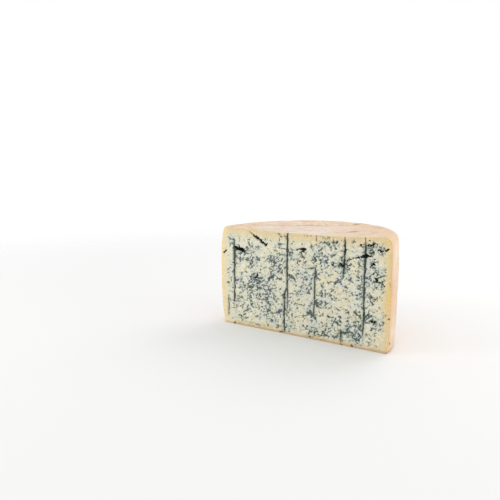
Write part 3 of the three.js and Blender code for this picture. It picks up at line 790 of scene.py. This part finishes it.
CREAM_LEFT, CREAM_RIGHT = paint(239, 231, 199), paint(239, 227, 192)
MOULDY_CREAM, CLOUD = paint(228, 226, 207), paint(216, 220, 206)
PEACH, AMBER, GLOWING_AMBER = paint(255, 222, 156), paint(238, 206, 138), paint(250, 206, 112)
DULL_YELLOW = paint(234, 206, 148)
FOOT_SHADE, FOOT_EDGE = paint(216, 184, 118), paint(194, 150, 94)
GREEN_HAZE, BLUE_HAZE, TRACK_HAZE = paint(136, 156, 136), paint(146, 158, 170), paint(140, 152, 142)
DARK_VEIN, GREEN_VEIN, BLUE_VEIN = paint(23, 41, 38), paint(91, 115, 100), paint(92, 111, 119)
CRACK_MOULD_AND_SHADE = paint(14, 24, 20)
RUST_PALE, RUST_DARK = paint(176, 140, 96), paint(44, 32, 22)

b = bench_for(paste)
spot = attribute(b, "place", "Vector")
feeds = {"Place": spot, **{socket: attribute(b, name) for socket, name in VEIN_FEEDS.items()}}
veins = b.node("ShaderNodeGroup", feeds, node_tree=vein_group("ShaderNodeTree"))

along = b.node("ShaderNodeSeparateXYZ", {0: spot}).outputs[0]
colour = b.mix(b.ramp(along, -80, 60), CREAM_LEFT, CREAM_RIGHT)
veined = b.ramp(b.plus(attribute(b, "mould"), b.swing(spot, 16, 0.7)), -0.3, 0.5)
colour = b.mix(veined, colour, MOULDY_CREAM)
clouded = b.ramp(b.noise(spot, 8, 3, 0.6), 0.42, 0.66)
colour = b.tinted(colour, CLOUD, clouded, 0.5)
side_amber = b.mix(b.ramp(along, -120, 120), PEACH, AMBER)
waver = b.swing(spot, 7, 0.2, 3, 0.6)
for band, tint in (("top_yellow", DULL_YELLOW), ("side_yellow", side_amber)):
    reach = attribute(b, band)
    share = b.times(b.math("ADD", reach, waver, clamp=True), b.ramp(reach, 0, 0.3))
    colour = b.mix(share, colour, tint)
colour = b.tinted(colour, GLOWING_AMBER, attribute(b, "amber_glow"), 0.8)
# Painted shade: a brown band darkens the paste towards the foot, but for the left corner.
foot_shade = attribute(b, "foot_shade")
foot_shading = b.plus(foot_shade, b.swing(b.moved(spot, (5, 0, 0)), 22, 0.9, 2))
foot_shading = b.times(b.ramp(foot_shading, 0.15, 1.1), b.ramp(foot_shade, 0.02, 0.4))
colour = b.tinted(colour, FOOT_SHADE, foot_shading, 0.75)
foot = b.ramp(b.plus(attribute(b, "foot_line"), b.swing(spot, 4, 0.6, 3, 0.6)), 0.1, 0.9)
colour = b.tinted(colour, FOOT_EDGE, foot, 0.7)
bluer = b.ramp(b.noise(b.moved(spot, (20, 0, 80)), 15, 3, 0.6), 0.4, 0.62)
colour = b.tinted(colour, b.mix(bluer, GREEN_HAZE, BLUE_HAZE), veins.outputs["Haze"], 0.45)
track = b.plus(attribute(b, "track_inside"), b.swing(spot, 1.3, 0.9, 2, 0.6))
colour = b.tinted(colour, TRACK_HAZE, b.ramp(track, -4, 0.2), 0.4)
tone = b.ramp(b.plus(b.noise(spot, 4.5, 2, 0.5), b.noise(spot, 1.7, 2, 0.5)), 0.76, 1.2)
tone = b.minus(tone, b.times(b.ramp(track, -1, 0.6), 0.28))
tone = b.minus(tone, b.times(veins.outputs["Core"], 0.45))
vein_colour = b.mix(b.math("MAXIMUM", tone, 0), DARK_VEIN, b.mix(bluer, GREEN_VEIN, BLUE_VEIN))
colour = b.tinted(colour, vein_colour, veins.outputs["Veins"], 0.93)
# Painted shade with dark mould: the insides of the cracks are painted nearly black.
crack = b.plus(attribute(b, "crack_inside"), b.swing(spot, 2, 0.9, 3, 0.6))
hollow = b.ramp(crack, -0.15, 0.45)
colour = b.mix(hollow, colour, CRACK_MOULD_AND_SHADE)
rusty = b.plus(attribute(b, "rust_inside"), b.swing(spot, 1.5, 0.9, 2, 0.6))
rust_colour = b.mix(b.ramp(rusty, 0, 1.3), RUST_PALE, RUST_DARK)
colour = b.tinted(colour, rust_colour, b.ramp(rusty, -0.6, 0.6), 0.88)

height = b.noise(spot, 1.6, 4, 0.6)
grain = b.node("ShaderNodeBump", {"Strength": 0.35, "Distance": 0.0006, "Height": height})
skin = b.node(
    "ShaderNodeBsdfPrincipled",
    {"Base Color": colour, "Roughness": b.ramp(hollow, 0, 1, 0.5, 0.95), "Normal": grain.outputs[0]},
)
skin.inputs["Subsurface Weight"].default_value = 0.15
skin.inputs["Subsurface Radius"].default_value = (1.0, 0.7, 0.4)
skin.inputs["Subsurface Scale"].default_value = 0.004
b.node("ShaderNodeOutputMaterial", {"Surface": skin.outputs[0]})

# ------------ the rind
# Dry, pinkish beige and brushed with brine. Its top has a pale bloom and brown creases, darkened in
# their cores with painted shade. Its side is clean next to the cut and paler there, partly with
# painted light, with a painted highlight high up, and further round is tan, with ochre and pink
# patches, pale bloom in upright streaks, dark pits, rust dots and grey mould, busiest at mid height.

BEIGE, PINK_BEIGE, SANDY = paint(240, 226, 208), paint(237, 217, 191), paint(222, 190, 158)
LIT_END_CREAM, RIM_TAN, RIGHT_TAN = paint(246, 227, 204), paint(235, 196, 150), paint(226, 194, 162)
BLOOM, SIDE_HIGHLIGHT, SALT = paint(240, 233, 225), paint(246, 241, 231), paint(249, 241, 231)
CUT_TAN, FOOT_TAN, FLUSH = paint(230, 190, 140), paint(228, 186, 138), paint(232, 185, 148)
SIDE_TAN, OCHRE, PINK = paint(212, 165, 123), paint(200, 146, 92), paint(192, 138, 118)
PALE_STREAK, RUST, GREY_MOULD = paint(238, 213, 196), paint(170, 100, 70), paint(142, 146, 136)
PIT_BROWN, SPECK_BROWN, DOT_BROWN = paint(168, 118, 88), paint(84, 62, 50), paint(92, 62, 38)
CREASE_TAN, CREASE_BROWN_AND_SHADE, FOOT_RUST = paint(216, 170, 120), paint(142, 94, 56), paint(166, 104, 62)

b = bench_for(rind)
spot = attribute(b, "place", "Vector")
rightward, depth, rise = b.node("ShaderNodeSeparateXYZ", {0: spot}).outputs
near_end = attribute(b, "pale_lit_end")
busy = b.minus(1, b.times(near_end, 0.85))
side_only = b.times(busy, b.ramp(rise, 164, 140))
mid_height = b.times(b.ramp(rise, 15, 60), b.ramp(rise, 148, 118))
mid_height = b.times(busy, b.ramp(mid_height, 0, 1, 0.35, 1))

sandy = b.ramp(b.noise(spot, 7, 4, 0.62), 0.46, 0.64)
bloom = b.times(attribute(b, "top_bloom"), b.ramp(b.noise(spot, 12, 4, 0.65), 0.3, 0.54))
to_the_right = b.ramp(b.plus(rightward, b.swing(spot, 20, 16, 3, 0.6)), 20, 70)
beside_cut = b.times(b.ramp(depth, 16, 1), b.ramp(rise, 158, 146))
flush = b.times(b.ramp(rise, 40, 60), b.ramp(rise, 115, 98))
# Painted highlight: a pale zone high on the side, back from the cut edge, near the cut's end.
side_highlight_zone = b.times(b.ramp(rise, 115, 140), b.ramp(rise, 160, 148))
side_highlight_zone = b.times(side_highlight_zone, b.ramp(depth, 10, 40))
tan = b.times(side_only, b.ramp(b.noise(spot, 12, 4, 0.6), 0.3, 0.6, 0.45, 1))
ochre = b.ramp(b.noise(b.moved(spot, (40, 0, 9)), 38, 4, 0.6), 0.44, 0.64)
pink = b.ramp(b.noise(b.moved(spot, (0, 70, 31)), 19, 5, 0.68), 0.47, 0.65)
upright = b.vector_math("MULTIPLY", spot, (1, 1, 0.4))
streaks = b.ramp(b.noise(upright, 5, 5, 0.7), 0.5, 0.68)
salt = b.ramp(b.noise(spot, 2.6, 4, 0.7), 0.54, 0.7)
rust = b.ramp(b.noise(b.moved(spot, (9, 5, 50)), 3.4, 3, 0.6), 0.62, 0.72)
grey = b.ramp(b.noise(b.moved(spot, (60, 5, 5)), 6, 4, 0.7), 0.6, 0.7)
marks = b.node("ShaderNodeGroup", {0: spot}, node_tree=pit_group("ShaderNodeTree"))
crease = b.plus(attribute(b, "crease_inside"), b.swing(spot, 2.4, 1.3, 3, 0.65))
broken = b.ramp(b.noise(spot, 8, 3, 0.6), 0.38, 0.6, 0.25, 1)
foot = b.ramp(b.plus(attribute(b, "foot_line"), b.swing(spot, 3, 0.5, 3, 0.6)), 0.25, 0.95)
dot = b.plus(attribute(b, "dark_dot"), b.swing(spot, 2, 0.8, 2, 0.6))

# Each layer over the beige is its colour, where it lies, and how strong it is at most.
colour = b.mix(b.ramp(b.noise(spot, 26, 3, 0.55), 0.36, 0.62), BEIGE, PINK_BEIGE)
for tint, share, strength in (
    (SANDY, sandy, 0.6),
    # Partly painted light: the end beside the cut is painted a paler cream.
    (LIT_END_CREAM, near_end, 0.65),
    (RIM_TAN, attribute(b, "rim_band"), 0.6),
    (BLOOM, bloom, 0.9),
    (RIGHT_TAN, b.times(b.ramp(rise, 148, 156), to_the_right), 0.5),
    (CUT_TAN, beside_cut, 0.7),
    (FOOT_TAN, b.ramp(rise, 28, 6), 0.5),
    (FLUSH, b.times(flush, near_end), 0.42),
    # Painted highlight high on the side near the cut's end.
    (SIDE_HIGHLIGHT, b.times(side_highlight_zone, near_end), 0.6),
    (SIDE_TAN, tan, 0.78),
    (OCHRE, b.times(ochre, side_only), 0.75),
    (PINK, b.times(pink, mid_height), 0.75),
    (PALE_STREAK, b.times(streaks, mid_height), 0.75),
    (SALT, salt, 0.4),
    (RUST, b.times(rust, busy), 0.6),
    (GREY_MOULD, b.times(grey, mid_height), 0.7),
    (PIT_BROWN, b.times(marks.outputs["Pits"], busy), 0.5),
    (SPECK_BROWN, b.times(marks.outputs["Specks"], busy), 0.85),
    (CREASE_TAN, b.times(b.ramp(crease, -4.5, 0.5), broken), 0.65),
    # Partly painted shade: the dark brown in the crease cores stands in for the shade in them.
    (CREASE_BROWN_AND_SHADE, b.times(b.ramp(crease, -0.8, 1.8), broken), 0.9),
    (FOOT_RUST, foot, 0.75),
    (DOT_BROWN, b.ramp(dot, -0.6, 1.2), 0.9),
):
    colour = b.tinted(colour, tint, share, strength)

height = b.plus(b.noise(spot, 1.8, 5, 0.65), b.times(salt, 0.3))
grain = b.node("ShaderNodeBump", {"Strength": 0.45, "Distance": 0.001, "Height": height})
skin = b.node(
    "ShaderNodeBsdfPrincipled",
    {"Base Color": colour, "Roughness": b.ramp(salt, 0, 1, 0.68, 0.85), "Normal": grain.outputs[0]},
)
b.node("ShaderNodeOutputMaterial", {"Surface": skin.outputs[0]})

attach(cheese, "root")
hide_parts("half_wheel")

# ------------ floor, lights and camera
# A pale sheet that fades out into a bright white room, a soft light high up behind, low ones at the
# left front and the right, and the camera where it stood.

FLOOR_HALF = 3.0
FADE_START, FADE_END = 0.45, 1.6
SHEET_WHITE = (0.915, 0.915, 0.91, 1.0)
WHITE = (1.0, 1.0, 1.0, 1.0)

floor_mesh = bpy.data.meshes.new("pale_sheet")
sheet_corners = [(x * FLOOR_HALF, y * FLOOR_HALF, 0) for x, y in ((-1, -1), (1, -1), (1, 1), (-1, 1))]
floor_mesh.from_pydata(sheet_corners, [], [(0, 1, 2, 3)])
floor = bpy.data.objects.new("pale_sheet", floor_mesh)
put_in_scene(floor)
sheet = bpy.data.materials.new("pale_sheet")
b = bench_for(sheet)
floor_place = b.node("ShaderNodeTexCoord").outputs["Object"]
out = b.node("ShaderNodeVectorMath", {0: floor_place}, operation="LENGTH").outputs["Value"]
matt = b.node(
    "ShaderNodeBsdfPrincipled",
    {"Base Color": SHEET_WHITE, "Roughness": 0.8, "Alpha": b.ramp(out, FADE_END, FADE_START)},
)
b.node("ShaderNodeOutputMaterial", {"Surface": matt.outputs[0]})
floor_mesh.materials.append(sheet)

# The room is seen pure white, and lights the cheese a little less.
ROOM_LIGHT = 0.84

world = bpy.data.worlds.new("white_room")
bpy.context.scene.world = world
b = bench_for(world)
seen = b.node("ShaderNodeLightPath").outputs["Is Camera Ray"]
strength = b.ramp(seen, 0.0, 1.0, ROOM_LIGHT, 1.0)
glow = b.node("ShaderNodeBackground", {"Color": WHITE, "Strength": strength})
b.node("ShaderNodeOutputWorld", {"Surface": glow.outputs[0]})


def soft_light(name, place, aim, size, power):
    lamp = bpy.data.lights.new(name, "AREA")
    lamp.shape = "DISK"
    lamp.size = size
    lamp.energy = power
    holder = bpy.data.objects.new(name, lamp)
    holder.location = place
    holder.rotation_mode = "QUATERNION"
    holder.rotation_quaternion = (Vector(aim) - Vector(place)).to_track_quat("-Z", "Y")
    put_in_scene(holder)


soft_light("high_back_soft", (0.3, 1.2, 1.3), (0.0, 0.0, 0.1), 1.2, 6.9)
soft_light("low_front_soft", (-1.2, -1.3, 0.5), (0.0, 0.0, 0.08), 0.8, 6.3)
soft_light("right_soft", (1.3, 0.2, 0.17), (0.1, 0.05, 0.08), 0.8, 3.2)

CAMERA_PLACE = (390.3, -675.4, 245.5)
CAMERA_YAW = math.radians(-35.36)
CAMERA_PITCH = math.radians(8.29)
LENS = 38.1456

camera = bpy.data.objects.new("camera", bpy.data.cameras.new("camera"))
put_in_scene(camera)
camera.data.lens = LENS
camera.location = to_frame @ Vector(CAMERA_PLACE)
level = math.cos(CAMERA_PITCH)
look = Vector((math.sin(CAMERA_YAW) * level, math.cos(CAMERA_YAW) * level, -math.sin(CAMERA_PITCH)))
camera.rotation_mode = "QUATERNION"
camera.rotation_quaternion = look.to_track_quat("-Z", "Y")
bpy.context.scene.camera = camera
bpy.context.scene.view_settings.view_transform = "Standard"
